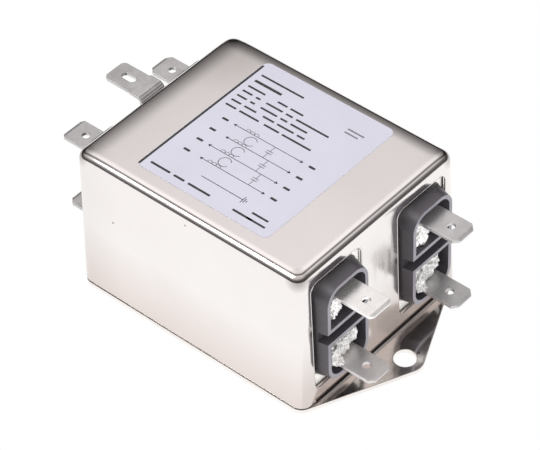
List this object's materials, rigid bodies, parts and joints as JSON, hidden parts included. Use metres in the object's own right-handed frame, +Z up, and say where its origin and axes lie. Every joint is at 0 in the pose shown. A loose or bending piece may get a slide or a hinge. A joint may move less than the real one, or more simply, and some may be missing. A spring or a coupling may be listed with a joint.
{
  "type": "three-phase rfi filter",
  "caption": "Three-phase line filter in a drawn metal can, with quick-connect tabs in black insulators at both ends, a ground tab and two mounting ears.",
  "frame": {"origin": "centre of the base plate's underside", "axes": "+X along the length towards the load terminals, +Y across, +Z up out of the base plate"},
  "size_m": [0.083, 0.0496, 0.0373],
  "materials": {
    "can_steel": "satin tin-plated drawn sheet",
    "base_steel": "satin tin-plated sheet",
    "insulator": "moulded black thermoset",
    "tab_plate": "tin-plated brass",
    "ground_plate": "tin-plated steel",
    "lead_sleeve": "green insulation",
    "label_film": "pale printed film",
    "liner_film": "white insulating film",
    "resin": "cast potting resin",
    "core_coat": "epoxy-coated ferrite",
    "divider": "moulded insulator",
    "enamel": "enamelled copper wire",
    "x_box": "boxed film capacitor",
    "y_box": "boxed film capacitor",
    "resistor": "lacquered ceramic",
    "tinned_wire": "tinned copper wire",
    "solder": "soft solder"
  },
  "bodies": {
    "root": {"can_shell": "can_steel", "base_plate": "base_steel", "load_insulator_1": "insulator", "load_insulator_2": "insulator", "line_insulator_1": "insulator", "line_insulator_2": "insulator", "load_tab_1": "tab_plate", "load_tab_2": "tab_plate", "load_tab_3": "tab_plate", "load_tab_4": "tab_plate", "line_tab_1": "tab_plate", "line_tab_2": "tab_plate", "line_tab_3": "tab_plate", "line_tab_4": "tab_plate", "ground_tab": "ground_plate", "ground_rivet": "ground_plate", "ground_lead": "lead_sleeve", "label": "label_film", "film_liner": "liner_film", "potting_resin": "resin", "choke_core": "core_coat", "choke_divider": "divider", "choke_winding_1": "enamel", "choke_winding_2": "enamel", "choke_winding_3": "enamel", "choke_winding_4": "enamel", "x_capacitor_1": "x_box", "x_capacitor_2": "x_box", "x_capacitor_3": "x_box", "y_capacitor": "y_box", "bleeder_resistor_1": "resistor", "bleeder_resistor_2": "resistor", "bleeder_resistor_3": "resistor", "neutral_bus": "tinned_wire", "load_solder": "solder", "line_solder": "solder"}
  },
  "joints": []
}
